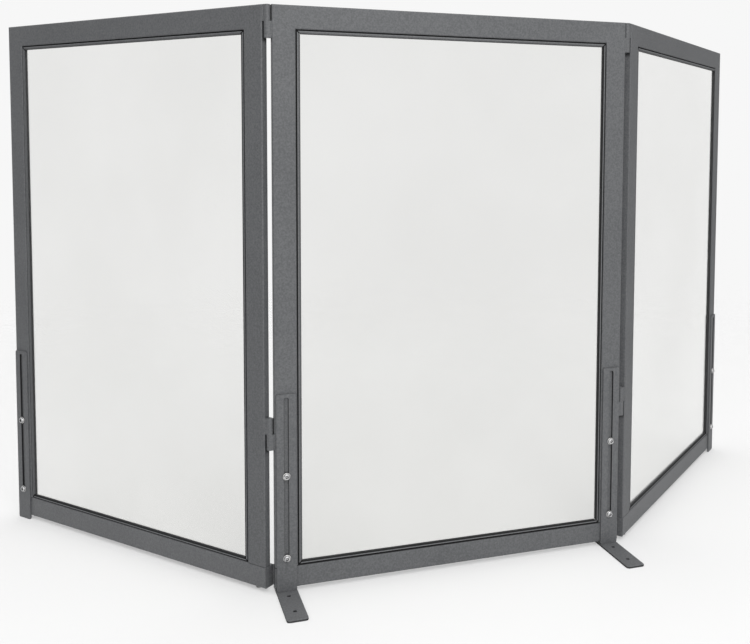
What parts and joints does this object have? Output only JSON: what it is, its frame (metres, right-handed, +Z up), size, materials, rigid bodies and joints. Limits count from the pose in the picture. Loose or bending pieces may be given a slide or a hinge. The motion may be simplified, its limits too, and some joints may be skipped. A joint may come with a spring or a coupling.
{
  "type": "fireplace screen",
  "caption": "Free-standing three-panel glass fireplace screen with folding lift-off wings and height-adjustable slotted legs.",
  "frame": {"origin": "on the floor, in the middle of the space that the standing screen takes up", "axes": "+Z up; +X along the centre panel to the right as seen from the front; the front faces -Y and the wings fold back to +Y"},
  "size_m": [1.498, 0.5814, 0.9216],
  "materials": {
    "frame_coat": "fine-textured dark grey powder coat",
    "bead_coat": "dark grey powder coat",
    "stop_coat": "dark grey powder coat",
    "hinge_coat": "dark grey powder coat over the weld",
    "leg_coat": "fine-textured dark grey powder coat",
    "clear_glass": "clear tempered glass",
    "gasket_rubber": "black extruded rubber",
    "zinc_plate": "bright zinc plate",
    "pin_steel": "turned steel",
    "plug_steel": "mill steel"
  },
  "bodies": {
    "centre_frame": {"centre_left_stile": "frame_coat", "centre_right_stile": "frame_coat", "centre_top_rail": "frame_coat", "centre_bottom_rail": "frame_coat", "centre_rail_end_caps": "frame_coat", "centre_stile_plugs": "plug_steel", "centre_rail_screws": "zinc_plate", "centre_glazing_stops": "stop_coat", "centre_glass_gasket": "gasket_rubber", "centre_glazing_beads": "bead_coat", "centre_glass": "clear_glass", "centre_rivet_nuts": "zinc_plate", "centre_clamp_washers": "zinc_plate", "centre_clamp_screws": "zinc_plate", "left_upper_hinge_centre_knuckle": "hinge_coat", "left_lower_hinge_centre_knuckle": "hinge_coat", "right_upper_hinge_centre_knuckle": "hinge_coat", "right_lower_hinge_centre_knuckle": "hinge_coat"},
    "left_pins": {"left_hinge_pins": "pin_steel"},
    "right_pins": {"right_hinge_pins": "pin_steel"},
    "left_wing": {"left_wing_left_stile": "frame_coat", "left_wing_right_stile": "frame_coat", "left_wing_top_rail": "frame_coat", "left_wing_bottom_rail": "frame_coat", "left_wing_rail_end_caps": "frame_coat", "left_wing_stile_plugs": "plug_steel", "left_wing_rail_screws": "zinc_plate", "left_wing_glazing_stops": "stop_coat", "left_wing_glass_gasket": "gasket_rubber", "left_wing_glazing_beads": "bead_coat", "left_wing_glass": "clear_glass", "left_wing_rivet_nuts": "zinc_plate", "left_wing_clamp_washers": "zinc_plate", "left_wing_clamp_screws": "zinc_plate", "left_upper_hinge_wing_knuckle": "hinge_coat", "left_lower_hinge_wing_knuckle": "hinge_coat"},
    "right_wing": {"right_wing_left_stile": "frame_coat", "right_wing_right_stile": "frame_coat", "right_wing_top_rail": "frame_coat", "right_wing_bottom_rail": "frame_coat", "right_wing_rail_end_caps": "frame_coat", "right_wing_stile_plugs": "plug_steel", "right_wing_rail_screws": "zinc_plate", "right_wing_glazing_stops": "stop_coat", "right_wing_glass_gasket": "gasket_rubber", "right_wing_glazing_beads": "bead_coat", "right_wing_glass": "clear_glass", "right_wing_rivet_nuts": "zinc_plate", "right_wing_clamp_washers": "zinc_plate", "right_wing_clamp_screws": "zinc_plate", "right_upper_hinge_wing_knuckle": "hinge_coat", "right_lower_hinge_wing_knuckle": "hinge_coat"},
    "centre_left_leg": {"centre_left_leg_strip": "leg_coat", "centre_left_foot_plate": "leg_coat"},
    "centre_right_leg": {"centre_right_leg_strip": "leg_coat", "centre_right_foot_plate": "leg_coat"},
    "left_wing_leg": {"left_wing_leg_strip": "leg_coat"},
    "right_wing_leg": {"right_wing_leg_strip": "leg_coat"}
  },
  "joints": [
    {"name": "left_wing_fold", "type": "hinge", "parent": "centre_frame", "child": "left_pins", "pos_m": [-0.34458, -0.1863, 0.0072], "axis": [0, 0, -1], "range_deg": [-129.6, 0.1]},
    {"name": "left_wing_lift", "type": "slide", "parent": "left_pins", "child": "left_wing", "axis": [0, 0, 1], "range_m": [0, 0.022]},
    {"name": "right_wing_fold", "type": "hinge", "parent": "centre_frame", "child": "right_pins", "pos_m": [0.27682, -0.1863, 0.0072], "axis": [0, 0, 1], "range_deg": [-120.5, 9.2]},
    {"name": "right_wing_lift", "type": "slide", "parent": "right_pins", "child": "right_wing", "axis": [0, 0, 1], "range_m": [0, 0.022]},
    {"name": "centre_left_leg_slide", "type": "slide", "parent": "centre_frame", "child": "centre_left_leg", "axis": [0, 0, -1], "range_m": [0, 0.122]},
    {"name": "centre_right_leg_slide", "type": "slide", "parent": "centre_frame", "child": "centre_right_leg", "axis": [0, 0, -1], "range_m": [0, 0.122]},
    {"name": "left_wing_leg_slide", "type": "slide", "parent": "left_wing", "child": "left_wing_leg", "axis": [0, 0, -1], "range_m": [0, 0.122]},
    {"name": "right_wing_leg_slide", "type": "slide", "parent": "right_wing", "child": "right_wing_leg", "axis": [0, 0, -1], "range_m": [0, 0.122]}
  ]
}
